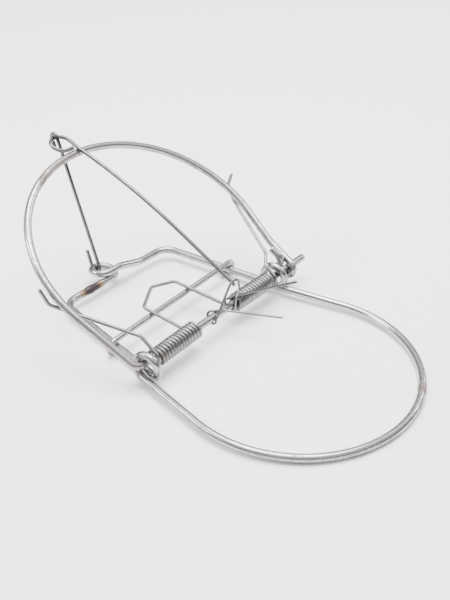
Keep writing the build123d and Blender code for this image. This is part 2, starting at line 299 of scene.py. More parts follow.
def bent(corners: Sequence[Sequence[float]], radii: Union[float, Sequence[float]]) -> np.ndarray:
    """A wire's centre line: straight runs between corners, and an arc at each corner.

    The arc at a corner starts radius * tan(turn / 2) before it. Its centre lies on the line that
    halves the corner, radius / cos(turn / 2) away, and its points are
    centre + (first - centre) cos t + incoming * radius * sin t, for t from 0 to the turn.

    Args:
        corners: The corners, and the two ends.
        radii: The bend radius at each corner, or one for all.

    Returns:
        Points along the centre line.
    """
    points = np.asarray(corners, float)
    bends = np.broadcast_to(np.asarray(radii, float), (len(points) - 2,))
    runs = np.diff(points, axis=0)
    ways = runs / np.linalg.norm(runs, axis=1, keepdims=True)
    turns = np.arccos(np.clip(np.sum(ways[:-1] * ways[1:], axis=1), -1.0, 1.0))
    setbacks = (bends * np.tan(turns / 2))[:, None]
    firsts = points[1:-1] - ways[:-1] * setbacks
    lasts = points[1:-1] + ways[1:] * setbacks
    inward = ways[1:] - ways[:-1]
    inward /= np.maximum(np.linalg.norm(inward, axis=1, keepdims=True), 1e-9)
    centres = points[1:-1] + inward * (bends / np.cos(turns / 2))[:, None]
    starts = np.vstack([points[:1], lasts])
    ends = np.vstack([firsts, points[-1:]])
    pieces = []
    for k, (start, end) in enumerate(zip(starts, ends)):
        count = int(np.linalg.norm(end - start) / STATION_SPACING) + 2
        pieces.append(start + (end - start) * np.linspace(0.0, 1.0, count)[:, None])
        if k < len(turns) and turns[k] > 1e-4:
            finest = min(STATION_TURN, STATION_SPACING / bends[k])
            t = np.linspace(0.0, turns[k], int(turns[k] / finest) + 3)[:, None]
            swing = (firsts[k] - centres[k]) * np.cos(t)
            pieces.append(centres[k] + swing + ways[k] * bends[k] * np.sin(t))
    return joined(*pieces)


def joined(*lines: np.ndarray) -> np.ndarray:
    """Joins centre lines end to end, without the points that repeat their neighbour.

    Args:
        *lines: Arrays of points.

    Returns:
        One array of points.
    """
    points = np.vstack(lines)
    apart = np.linalg.norm(np.diff(points, axis=0), axis=1)
    return points[np.concatenate([[True], apart > SAME_POINT])]


def round_arc(start: Pair, end: Pair, centre: Pair, radius: float, sense: int) -> np.ndarray:
    """An arc in the XY plane: centre + radius (cos a, sin a), from one point to another.

    Args:
        start: The arc's first point.
        end: Its last point.
        centre: Its centre.
        radius: Its radius.
        sense: +1 for anticlockwise, -1 for clockwise.

    Returns:
        Points (x, y, 0) along the arc.
    """
    a, b = (math.atan2(p[1] - centre[1], p[0] - centre[0]) for p in (start, end))
    sweep = (sense * (b - a)) % (2 * math.pi)
    t = a + sense * np.linspace(0.0, sweep, int(sweep * radius / STATION_SPACING) + 2)
    x, y = centre[0] + radius * np.cos(t), centre[1] + radius * np.sin(t)
    return np.stack([x, y, np.zeros_like(x)], axis=1)


# ---- wire surfaces --------------------------------------------------------------
class End(Enum):
    """How a wire ends: sheared off, joined to another mesh, or closed on itself."""

    SHEARED = "sheared"
    JOINED = "joined"
    CLOSED = "closed"


@dataclass
class Marks:
    """Places along a wire, as (distance from its start, half length, strength), in millimetres."""

    # marks that darken the wire: dirt, and at some places a painted shadow of a part lying on it
    soil: Sequence[Triple] = ()
    heat: Sequence[Triple] = ()
    bright: Sequence[Triple] = ()

    @staticmethod
    def spread(places: Sequence[Triple], along: np.ndarray) -> np.ndarray:
        """Adds up the places: strength * exp(-(distance / half length)^2) for each.

        Args:
            places: The marked places.
            along: Distances along the wire.

        Returns:
            The strength at each distance, 0 to 1.
        """
        total = np.zeros_like(along)
        for centre, half, strength in places:
            total += strength * np.exp(-(((along - centre) / half) ** 2))
        return np.clip(total, 0.0, 1.0)


@dataclass
class Wire:
    """A round wire's surface along a centre line.

    Section k is a circle of the wire's radius at the centre line's point k, square to the line.
    Each section's axes are the last one's, turned by the smallest turn that carries the line's
    direction on, so the pattern along the wire doesn't twist.
    """

    name: str
    line: np.ndarray
    diameter: float
    ends: tuple[End, End] = (End.SHEARED, End.SHEARED)
    around: int = 28
    swell: Sequence[Triple] = ()
    marks: Marks = field(default_factory=Marks)

    CHAMFER = ((0.0, 0.80), (0.07, 0.93), (0.2, 1.0))  # (distance from the end, share of radius)

    def _stations(self) -> tuple[np.ndarray, np.ndarray, np.ndarray]:
        """Works out the sections.

        Returns:
            Their centres, directions and distances along the wire.
        """
        line = self.line
        if self.ends[0] is End.SHEARED:
            line = self._with_chamfer(line)
        if self.ends[1] is End.SHEARED:
            line = self._with_chamfer(line[::-1])[::-1]
        if self.ends[0] is End.CLOSED:
            line = line[:-1]
            ahead = np.roll(line, -1, axis=0) - np.roll(line, 1, axis=0)
        else:
            ahead = np.gradient(line, axis=0)
            ahead[0], ahead[-1] = line[1] - line[0], line[-1] - line[-2]
        ahead /= np.linalg.norm(ahead, axis=1, keepdims=True)
        along = np.concatenate([[0.0], np.cumsum(np.linalg.norm(np.diff(line, axis=0), axis=1))])
        return line, ahead, along

    def _with_chamfer(self, line: np.ndarray) -> np.ndarray:
        """Adds the sheared end's own sections.

        Args:
            line: A centre line that starts at the sheared end.

        Returns:
            The line with these sections at its start.
        """
        way = (line[1] - line[0]) / np.linalg.norm(line[1] - line[0])
        own = np.array([line[0] + way * d for d, _ in self.CHAMFER])
        rest = line[1:]
        beyond = np.linalg.norm(rest - line[0], axis=1) > self.CHAMFER[-1][0] + SAME_POINT
        return np.vstack([own, rest[np.argmax(beyond):]])

    def _axes(self, ahead: np.ndarray) -> tuple[np.ndarray, np.ndarray]:
        """Two axes for every section, square to the line, with no twist between neighbours.

        Args:
            ahead: The line's direction at each section.

        Returns:
            The sideways and the upright axes.

        The turn that carries direction a to b is I + K + K K / (1 + a.b), with K the cross-product
        matrix of a x b. The turns are multiplied up by doubling: after step n each holds the
        product of the 2^n turns before it.
        """
        a, b = ahead[:-1], ahead[1:]
        v, c = np.cross(a, b), np.sum(a * b, axis=1)
        skew = np.zeros((len(a), 3, 3))
        skew[:, 0, 1], skew[:, 0, 2], skew[:, 1, 2] = -v[:, 2], v[:, 1], -v[:, 0]
        skew -= np.transpose(skew, (0, 2, 1))
        turns = np.eye(3) + skew + skew @ skew / (1 + c)[:, None, None]
        turns = np.concatenate([np.eye(3)[None], turns])
        shift = 1
        while shift < len(turns):
            turns[shift:] = turns[shift:] @ turns[:-shift]
            shift *= 2
        first = np.cross(ahead[0], [0.3, 0.2, 1.0])
        first /= np.linalg.norm(first)
        sideways = turns @ first
        return sideways, np.cross(ahead, sideways)

    def mesh(self, stance: Stance) -> bpy.types.Mesh:
        """The surface as a mesh, with what its finish reads.

        Vertex (k, j) is centre_k + r_kj (side_k cos t_j + up_k sin t_j), where r_kj is the radius,
        less at a sheared end and more at a swelling. The point attribute "wire" is
        (R cos t, R sin t, distance along) in millimetres.

        Args:
            stance: Where the trap stands.

        Returns:
            The mesh, in metres.
        """
        centres, ahead, along = self._stations()
        sideways, upright = self._axes(ahead)
        closed = self.ends[0] is End.CLOSED
        n, m = len(centres), self.around
        radius = self.diameter / 2
        t = np.linspace(0.0, 2 * math.pi, m, endpoint=False)[None, :]
        lag = np.zeros((n, 1))
        if closed:
            # The last section's axes meet the first's when the difference is spread along the loop.
            gap = math.atan2(float(sideways[-1] @ upright[0]), float(sideways[-1] @ sideways[0]))
            lag = (along / along[-1] * gap)[:, None]
        reach = np.full((n, m), radius)
        for end, distance in ((self.ends[0], along), (self.ends[1], along[-1] - along)):
            if end is End.SHEARED:
                place, share = zip(*self.CHAMFER)
                reach *= np.interp(distance, place, share)[:, None]
        for centre, half, height in self.swell:
            gap_along = np.abs((along - centre + along[-1] / 2) % along[-1] - along[-1] / 2)
            hump = np.clip(1 - (gap_along / half) ** 2, 0.0, 1.0)[:, None]
            uneven = 1 + 0.35 * np.sin(3 * t + 0.8) * np.cos(gap_along[:, None] * 2.1 + t)
            reach = reach + height * hump * uneven
        circle = (
            sideways[:, None] * np.cos(t - lag)[..., None]
            + upright[:, None] * np.sin(t - lag)[..., None]
        )
        points = (centres[:, None] + reach[..., None] * circle).reshape(-1, 3)
        k = np.arange(n if closed else n - 1)[:, None]
        j = np.arange(m)[None, :]
        after, beside = (k + 1) % n, (j + 1) % m
        quads = np.stack([k * m + j, k * m + beside, after * m + beside, after * m + j], axis=2)
        faces = quads.reshape(-1, 4).tolist()
        own = np.stack(
            [
                np.broadcast_to(radius * np.cos(t), (n, m)),
                np.broadcast_to(radius * np.sin(t), (n, m)),
                np.broadcast_to(along[:, None], (n, m)),
            ],
            axis=2,
        ).reshape(-1, 3)
        if not closed:
            points = np.vstack([points, centres[:1], centres[-1:]])
            own = np.vstack([own, [0.0, 0.0, along[0]], [0.0, 0.0, along[-1]]])
            ring = np.arange(m)
            following = (ring + 1) % m
            faces += np.stack([following, ring, np.full(m, n * m)], axis=1).tolist()
            last = (n - 1) * m
            faces += np.stack([ring + last, following + last, np.full(m, n * m + 1)], 1).tolist()
        mesh = bpy.data.meshes.new(self.name)
        mesh.from_pydata(stance.place(points).tolist(), [], faces)
        smooth = np.ones(len(faces), bool)
        smooth[len(quads.reshape(-1, 4)):] = False
        mesh.polygons.foreach_set("use_smooth", smooth)
        layer = mesh.attributes.new("wire", "FLOAT_VECTOR", "POINT")
        layer.data.foreach_set("vector", own.astype(np.float32).ravel())
        cut = self._cut(own[:, 2], along[-1])
        for label, values in (
            ("soil", Marks.spread(self.marks.soil, own[:, 2])),
            ("weld_tint", Marks.spread(self.marks.heat, own[:, 2])),
            ("bright", Marks.spread(self.marks.bright, own[:, 2])),
            ("cut", cut),
        ):
            layer = mesh.attributes.new(label, "FLOAT", "POINT")
            layer.data.foreach_set("value", values.astype(np.float32))
        mesh.validate()
        mesh.update()
        return mesh

    def _cut(self, along: np.ndarray, length: float) -> np.ndarray:
        """How bare the metal is near a sheared end.

        Args:
            along: Distances along the wire.
            length: The wire's length.

        Returns:
            1 at the cut face, fading to 0 within CUT_LENGTH.
        """
        near = np.zeros_like(along)
        for end, distance in ((self.ends[0], along), (self.ends[1], length - along)):
            if end is End.SHEARED:
                near = np.maximum(near, np.clip(1 - distance / CUT_LENGTH, 0.0, 1.0))
        return near

    def make(self, stance: Stance, finish: "Steel") -> bpy.types.Object:
        """The wire as an object with its finish.

        Args:
            stance: Where the trap stands.
            finish: The wire's finish.

        Returns:
            The object, not yet riding on a body.
        """
        obj = bpy.data.objects.new(self.name, self.mesh(stance))
        bpy.context.scene.collection.objects.link(obj)
        obj.data.materials.append(finish.material())
        return obj


# ---- shader maths ----------------------------------------------------------------
class Field:
    """A value or colour over a surface: one shader socket, with arithmetic."""

    def __init__(self, tree: bpy.types.NodeTree, socket: bpy.types.NodeSocket) -> None:
        """Wraps a socket of a node tree.

        Args:
            tree: The material's node tree.
            socket: The output socket that holds the value.
        """
        self.tree = tree
        self.socket = socket

    def node(self, kind: str, inputs: dict, output: Union[int, str] = 0, **settings) -> "Field":
        """Adds a node.

        Args:
            kind: The node's type.
            inputs: A number, colour or Field for each input, by name or place.
            output: The output to hand back, by name or place.
            **settings: The node's own settings.

        Returns:
            The chosen output.
        """
        made = self.tree.nodes.new(kind)
        for name, value in settings.items():
            setattr(made, name, value)
        for name, value in inputs.items():
            if isinstance(value, Field):
                self.tree.links.new(value.socket, made.inputs[name])
            else:
                made.inputs[name].default_value = value
        return Field(self.tree, made.outputs[output])

    def _math(self, operation: str, *operands: Union["Field", float]) -> "Field":
        """One step of arithmetic."""
        return self.node("ShaderNodeMath", dict(enumerate(operands)), operation=operation)

    def __add__(self, other: Union["Field", float]) -> "Field":
        """self + other."""
        return self._math("ADD", self, other)

    __radd__ = __add__

    def __mul__(self, other: Union["Field", float]) -> "Field":
        """self * other."""
        return self._math("MULTIPLY", self, other)

    __rmul__ = __mul__

    def __sub__(self, other: Union["Field", float]) -> "Field":
        """self - other."""
        return self._math("SUBTRACT", self, other)

    def __rsub__(self, other: float) -> "Field":
        """other - self."""
        return self._math("SUBTRACT", other, self)

    def between(self, low: float, high: float) -> "Field":
        """0 at low and under, 1 at high and over, smooth in between."""
        return self.node(
            "ShaderNodeMapRange", {"Value": self, "From Min": low, "From Max": high},
            interpolation_type="SMOOTHSTEP",
        )

    def mix(self, first: Union["Field", Sequence], second: Union["Field", Sequence]) -> "Field":
        """A colour between two, with this value as the share of the second."""
        return self.node(
            "ShaderNodeMix", {0: self, 6: first, 7: second}, output=2, data_type="RGBA"
        )

    def noise(self, scale: float, detail: float = 3.0, rough: float = 0.55) -> "Field":
        """Noise, 0 to 1, with this vector as its place."""
        inputs = {"Vector": self, "Scale": scale, "Detail": detail, "Roughness": rough}
        return self.node("ShaderNodeTexNoise", inputs, output="Fac")

    def stretched(self, amounts: Triple) -> "Field":
        """This vector with each part multiplied by its amount."""
        return self.node("ShaderNodeVectorMath", {0: self, 1: amounts}, operation="MULTIPLY")


Colour = tuple[float, float, float, float]


@dataclass(frozen=True)
class Steel:
    """Drawn steel wire: die lines along it, a mottled skin, grime, painted shade in the grime
    colour where a wire is marked for it, rust specks and cut ends.
    """

    name: str
    light: Colour = (0.42, 0.42, 0.43, 1.0)
    dark: Colour = (0.19, 0.187, 0.19, 1.0)
    # the grime colour, also painted as shade where a wire's marks put it
    grime_and_shade: Colour = (0.13, 0.105, 0.09, 1.0)
    rust: Colour = (0.20, 0.085, 0.045, 1.0)
    scorched: Colour = (0.055, 0.045, 0.045, 1.0)
    straw: Colour = (0.30, 0.20, 0.13, 1.0)
    cut_face: Colour = (0.62, 0.61, 0.60, 1.0)
    smooth: float = 0.26
    dull: float = 0.50
    die_lines: float = 0.55
    mottle: float = 0.3
    specks: float = 0.15
    bump: float = 0.3

    DIE_STRETCH = (1.9, 1.9, 0.035)
    FEED_STRETCH = (0.35, 0.35, 2.6)

    def material(self) -> bpy.types.Material:
        """Builds the finish as a node material, or finds it if it is there.

        Returns:
            The material.
        """
        if self.name in bpy.data.materials:
            return bpy.data.materials[self.name]
        made = bpy.data.materials.new(self.name)
        made.use_nodes = True
        tree = made.node_tree
        shader = tree.nodes["Principled BSDF"]
        start = Field(tree, shader.outputs[0])
        wire = start.node("ShaderNodeAttribute", {}, output="Vector", attribute_name="wire")
        soil, heat, bright, cut = (
            start.node("ShaderNodeAttribute", {}, output="Fac", attribute_name=label)
            for label in ("soil", "weld_tint", "bright", "cut")
        )
        lines = wire.stretched(self.DIE_STRETCH).noise(3.0, 5.0, 0.65)
        feed = wire.stretched(self.FEED_STRETCH).noise(1.3, 3.0, 0.6)
        skin = wire.noise(0.55, 5.0, 0.62)
        patches = wire.noise(0.11, 2.0, 0.5)
        grains = wire.noise(2.6, 2.0, 0.5)
        # die lines and mottling share out the light and the dark tone
        worn = lines.between(0.34, 0.66) * self.die_lines
        worn = worn + skin.between(0.38, 0.68) * self.mottle
        worn = worn + feed.between(0.52, 0.70) * 0.22 + patches.between(0.40, 0.70) * 0.25
        tone = (worn - bright * 0.7).between(0.05, 1.25)
        colour = tone.mix(self.light, self.dark)
        # grime gathers where the wire is marked, and in specks everywhere; where a mark stands for
        # a shadow, this dark is painted shade
        speck = (grains - 0.5 + skin * 0.35).between(0.21, 0.33) * self.specks
        dirt_and_shade = (soil * (skin.between(0.30, 0.55) * 0.8 + 0.25) + speck).between(0.0, 1.0)
        colour = dirt_and_shade.mix(colour, self.grime_and_shade)
        rusty = soil * grains.between(0.47, 0.60) * patches.between(0.30, 0.60)
        colour = (rusty * 0.75).mix(colour, self.rust)
        # heat tint: straw at its edge and scorched in the middle
        colour = heat.between(0.05, 0.45).mix(colour, self.straw)
        colour = (heat + skin * 0.3).between(0.45, 0.95).mix(colour, self.scorched)
        colour = (cut * 0.8).mix(colour, self.cut_face)
        rough = tone * (self.dull - self.smooth) + self.smooth
        rough = rough + dirt_and_shade * 0.22 + heat * 0.2 + cut * 0.2
        height = lines * 0.5 + skin * 0.3 + feed * 0.2 - dirt_and_shade * 0.3 + cut * grains * 2.0
        bump = start.node(
            "ShaderNodeBump",
            {"Strength": self.bump, "Distance": 0.03 * MM, "Height": height},
            output="Normal",
        )
        tree.links.new(colour.socket, shader.inputs["Base Color"])
        tree.links.new(rough.between(0.0, 1.0).socket, shader.inputs["Roughness"])
        metallic = 1.0 - dirt_and_shade * 0.45 - rusty * 0.4
        tree.links.new(metallic.socket, shader.inputs["Metallic"])
        tree.links.new(bump.socket, shader.inputs["Normal"])
        return made


BASE_STEEL = Steel("drawn_base_steel")
JAW_STEEL = Steel(
    "drawn_jaw_steel",
    light=(0.42, 0.41, 0.405, 1.0),
    dark=(0.18, 0.17, 0.167, 1.0),
    mottle=0.4,
    specks=0.2,
)
BAR_STEEL = Steel("drawn_bar_steel", light=(0.42, 0.42, 0.43, 1.0), dark=(0.20, 0.20, 0.205, 1.0))
SPRING_STEEL = Steel(
    "drawn_spring_steel",
    light=(0.23, 0.225, 0.23, 1.0),
    dark=(0.10, 0.098, 0.102, 1.0),
    smooth=0.34,
    dull=0.52,
    die_lines=0.4,
    specks=0.2,
)
ROD_STEEL = Steel(
    "drawn_rod_steel",
    light=(0.19, 0.187, 0.187, 1.0),
    dark=(0.075, 0.072, 0.072, 1.0),
    smooth=0.26,
    dull=0.5,
    specks=0.3,
)
TRIGGER_STEEL = Steel(
    "drawn_trigger_steel",
    light=(0.20, 0.197, 0.195, 1.0),
    dark=(0.08, 0.078, 0.076, 1.0),
    smooth=0.24,
    dull=0.44,
    specks=0.15,
)


# ---- the wires --------------------------------------------------------------------
@dataclass
class BaseWire:
    """The one heavy wire of the base: hoop, a ring at each side, rails, back bar and tail eye."""

    layout: Layout
    corner_radius: float = 7.0
    eye_drop_run: float = 12.0
    weld_x: float = -15.5
    weld_half: float = 1.3
    weld_proud: float = 0.3
    weld_tint_half: float = 6.0

    def _ring(self, side: Side) -> list[Triple]:
        """Corners of one turn round the axle, from the rail's strand to the hoop's.

        Args:
            side: Which side of the trap.

        Returns:
            The corners.
        """
        lay = self.layout
        corners = square_turns(steps(*lay.ring(side), 4), lay.ring_radius, 3, -1)
        shift = side.value * lay.ring_skew
        return [(x, y + shift, z + lay.ring_radius) for x, y, z in corners]

    def _touch(self, side: Side) -> Pair:
        """Where a ring's strand meets the hoop.

        Args:
            side: Which side of the trap.

        Returns:
            The place, as (x, y).
        """
        lay = self.layout
        leaving = (lay.ring(side)[1], side.value * lay.ring_skew)
        return tangent_to_circle(leaving, lay.hoop_centre, lay.hoop_radius, side.value)

    def line(self) -> np.ndarray:
        """The centre line, from the weld over the tail eye and round the trap to the weld.

        Returns:
            Points along the centre line.
        """
        lay = self.layout
        y, r, rise, x = lay.frame_depth, lay.tail_eye_radius, lay.turn, lay.tail_eye_x
        weld = (self.weld_x, y, 0.0)
        bends = [lay.ring_radius * RING_BEND] * 4
        right = [
            weld,
            (x + r, y, 0.0),
            (x + r, y + 2 * r, rise * 0.25),
            (x - r, y + 2 * r, rise * 0.7),
            (x - r, y, rise),
            (x + r + 1.0, y, rise),
            (x + r + 1.0 + self.eye_drop_run, y, 0.0),
            (lay.rail_half_back, y, 0.0),
            *self._ring(Side.RIGHT),
            (*self._touch(Side.RIGHT), 0.0),
        ]
        right_bends = [r * EYE_BEND] * 4 + [9.0, 9.0, self.corner_radius] + bends
        left = [weld, (-lay.rail_half_back, y, 0.0), *self._ring(Side.LEFT)]
        left.append((*self._touch(Side.LEFT), 0.0))
        touches = self._touch(Side.RIGHT), self._touch(Side.LEFT)
        hoop = round_arc(*touches, lay.hoop_centre, lay.hoop_radius, -1)
        left_line = bent(left, [self.corner_radius] + bends)
        return joined(bent(right, right_bends), hoop, left_line[::-1])

    def build(self, stance: Stance) -> bpy.types.Object:
        """Makes the wire, with its butt weld, heat tint and marks.

        Args:
            stance: Where the trap stands.

        Returns:
            The object.
        """
        line = self.line()
        length = float(np.linalg.norm(np.diff(line, axis=0), axis=1).sum())
        front = along_at(line, (18.0, -82.0, 0.0))
        tint = self.weld_tint_half
        marks = Marks(
            soil=[
                (front, 3.5, 0.95),
                (front + 9.0, 2.0, 0.5),
                (0.25 * length, 22.0, 0.25),
                (0.62 * length, 18.0, 0.3),
                (0.80 * length, 12.0, 0.3),
            ],
            heat=[(0.0, tint, 1.0), (length, tint, 1.0)],
            bright=[(0.40 * length, 40.0, 0.7)],
        )
        swell = [(0.0, self.weld_half, self.weld_proud)]
        wire = Wire(
            "base_wire", line, self.layout.gauge.frame, (End.CLOSED, End.CLOSED), 32, swell, marks
        )
        obj = wire.make(stance, BASE_STEEL)
        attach(obj, Body.BASE.value)
        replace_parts(obj, "base_frame")
        return obj


def along_at(line: np.ndarray, point: Triple) -> float:
    """Measures along a line to its point nearest to a given one.

    Args:
        line: Points of a centre line.
        point: The given point.

    Returns:
        The distance along the line.
    """
    lengths = np.concatenate([[0.0], np.cumsum(np.linalg.norm(np.diff(line, axis=0), axis=1))])
    return float(lengths[np.argmin(np.linalg.norm(line - np.array(point), axis=1))])


@dataclass
class CrossBar:
    """The bar over both rails, hooked round each of them."""

    layout: Layout
    hook_tail: float = 3.4

    def line(self) -> np.ndarray:
        """The centre line, from the left hook's end to the right one's.

        Returns:
            Points along the centre line.
        """
        lay, points = self.layout, []
        for side in Side:
            y = lay.bar_y + side.value * lay.bar_skew
            rail = lay.rail_x(y, side)
            out = rail + side.value * lay.bar_z
            hook = [
                (rail - side.value * self.hook_tail, y + lay.hook_slant, -lay.bar_z),
                (out, y + lay.hook_slant / 2, -lay.bar_z),
                (out, y, lay.bar_z),
            ]
            points += hook if side is Side.LEFT else hook[::-1]
        return bent(points, lay.bar_z * EYE_BEND)

    def build(self, stance: Stance) -> bpy.types.Object:
        """Makes the bar, with plier marks at its hooks.

        Args:
            stance: Where the trap stands.

        Returns:
            The object.
        """
        marks = Marks(soil=[(8.0, 4.0, 0.5), (90.0, 5.0, 0.45), (50.0, 10.0, 0.2)])
        wire = Wire("cross_bar_wire", self.line(), self.layout.gauge.bar, marks=marks)
        obj = wire.make(stance, BAR_STEEL)
        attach(obj, Body.BASE.value)
        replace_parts(obj, "cross_bar")
        return obj


@dataclass
class JawWire:
    """The jaw: a standing tail, an eye on the axle, the hoop, and the axle itself."""

    layout: Layout
    elbow_radius: float = 3.0
    left_proud: float = 2.6
    lift_run: float = 14.0
    tail: float = 10.0
    axle_end: float = 56.4

    def line(self) -> np.ndarray:
        """The centre line, from the tail's end round the hoop to the axle's cut end.

        Returns:
            Points along the centre line.
        """
        lay, gauge = self.layout, self.layout.gauge
        eye = gauge.frame + gauge.running
        tail_x = lay.ring(Side.RIGHT)[0] + gauge.frame + gauge.swing
        leg_x = tail_x + lay.turn
        elbow_x = lay.ring(Side.LEFT)[1] - self.left_proud
        touch = tangent_to_circle((leg_x, 0.0), lay.jaw_centre, lay.jaw_radius, -1)
        share = self.lift_run / math.hypot(touch[0] - leg_x, touch[1])
        low = (leg_x + (touch[0] - leg_x) * share, touch[1] * share, 0.0)
        turns = square_turns(steps(tail_x, leg_x, 4), eye, 1, -1)
        corners = [(tail_x, self.tail, eye), *turns, low, (*touch, 0.0)]
        right = bent(corners, [eye * RING_BEND] * 4 + [25.0])
        touch_left = tangent_to_circle((elbow_x, 0.0), lay.jaw_centre, lay.jaw_radius, 1)
        hoop = round_arc(touch, touch_left, lay.jaw_centre, lay.jaw_radius, 1)
        corners = [(*touch_left, 0.0), (elbow_x, 0.0, 0.0), (self.axle_end, 0.0, 0.0)]
        return lay.set_jaw(joined(right, hoop, bent(corners, self.elbow_radius)))

    def build(self, stance: Stance) -> bpy.types.Object:
        """Makes the jaw, soiled along its left, with a painted shadow of the lever where it lies on
        the nose.

        Args:
            stance: Where the trap stands.

        Returns:
            The object.
        """
        line = self.line()
        lay = self.layout
        nose = along_at(line, tuple(lay.set_jaw(np.array([[0.0, 90.2, 0.0]]))[0]))
        left = along_at(line, tuple(lay.set_jaw(np.array([[-50.0, 38.0, 0.0]]))[0]))
        elbow = along_at(line, tuple(lay.set_jaw(np.array([[-44.0, 3.0, 0.0]]))[0]))
        marks = Marks(
            soil=[
                (nose + 12.0, 7.0, 0.45),
                (nose + 23.0, 5.0, 0.75),
                # painted contact shadow of the lever, where it lies on the jaw's nose
                (nose + 1.0, 3.0, 0.5),
                (left, 12.0, 0.2),
                (left + 26.0, 6.0, 0.3),
                (elbow, 4.0, 0.35),
            ],
            bright=[(nose - 25.0, 18.0, 0.5)],
        )
        wire = Wire("jaw_wire", line, lay.gauge.frame, around=32, marks=marks)
        obj = wire.make(stance, JAW_STEEL)
        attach(obj, Body.JAW.value)
        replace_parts(obj, "jaw_hoop")
        return obj


@dataclass(frozen=True)
class ArmShape:
    """A spring arm's corners, each as (outwards, along the jaw, off the jaw).

    Those of its rise are measured from the arm's own x, and those of its hook from where the arm
    goes under the jaw, which is at its reach.
    """

    rise: tuple[Triple, ...]
    reach: float
    hook: tuple[Triple, ...]


